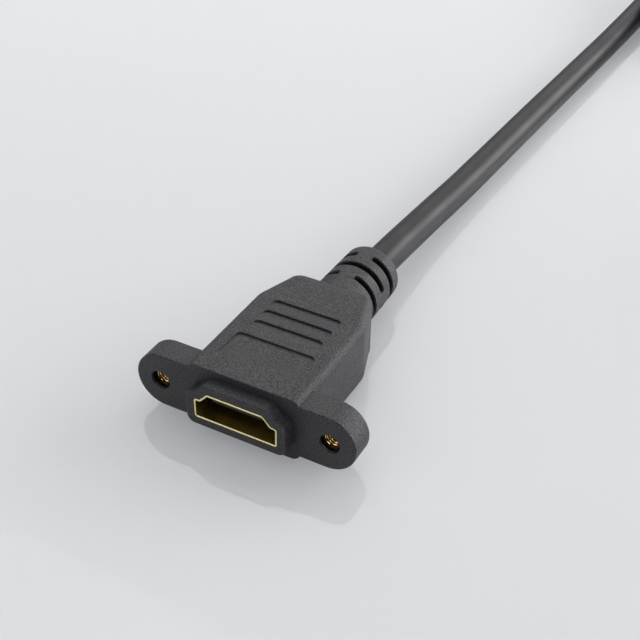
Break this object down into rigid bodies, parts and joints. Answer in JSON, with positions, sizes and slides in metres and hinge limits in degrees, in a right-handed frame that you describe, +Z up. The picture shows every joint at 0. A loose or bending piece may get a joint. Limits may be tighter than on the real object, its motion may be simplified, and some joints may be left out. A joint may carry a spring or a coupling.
{
  "type": "panel-mount display extension cable",
  "caption": "Black extension cable with a panel-mount female display socket on screw ears, a slotted strain relief, and a male plug at the far end of the coiled cable.",
  "frame": {"origin": "bottom centre of the box of the socket head (moulding with its ears and strain relief), on the surface that the head and the cable lie on", "axes": "+Y from the socket's mouth towards the cable, +X along the row of the two screw ears, +Z up with the socket's wide side down"},
  "size_m": [0.1074, 0.2558, 0.0146],
  "materials": {
    "overmould": "matte moulded PVC",
    "cable": "satin extruded PVC",
    "carrier": "satin moulded",
    "inner_mould": "milky polyethylene",
    "shell": "gold-plated",
    "contact": "gold-plated",
    "insert": "turned",
    "strap": "woven hook-and-loop"
  },
  "bodies": {
    "root": {"overmould": "overmould", "insert_left": "insert", "insert_right": "insert", "socket_shell": "shell", "contact_carrier": "carrier", "socket_contact_01": "contact", "socket_contact_02": "contact", "socket_contact_03": "contact", "socket_contact_04": "contact", "socket_contact_05": "contact", "socket_contact_06": "contact", "socket_contact_07": "contact", "socket_contact_08": "contact", "socket_contact_09": "contact", "socket_contact_10": "contact", "socket_contact_11": "contact", "socket_contact_12": "contact", "socket_contact_13": "contact", "socket_contact_14": "contact", "socket_contact_15": "contact", "socket_contact_16": "contact", "socket_contact_17": "contact", "socket_contact_18": "contact", "socket_contact_19": "contact", "socket_inner_mould": "inner_mould", "cable_run": "cable", "cable_coil": "cable", "cable_tail": "cable", "coil_strap_1": "strap", "coil_strap_2": "strap", "plug_overmould": "overmould", "plug_shell": "shell", "plug_insulator": "carrier", "plug_contact_01": "contact", "plug_contact_02": "contact", "plug_contact_03": "contact", "plug_contact_04": "contact", "plug_contact_05": "contact", "plug_contact_06": "contact", "plug_contact_07": "contact", "plug_contact_08": "contact", "plug_contact_09": "contact", "plug_contact_10": "contact", "plug_contact_11": "contact", "plug_contact_12": "contact", "plug_contact_13": "contact", "plug_contact_14": "contact", "plug_contact_15": "contact", "plug_contact_16": "contact", "plug_contact_17": "contact", "plug_contact_18": "contact", "plug_contact_19": "contact", "plug_inner_mould": "inner_mould"}
  },
  "joints": []
}
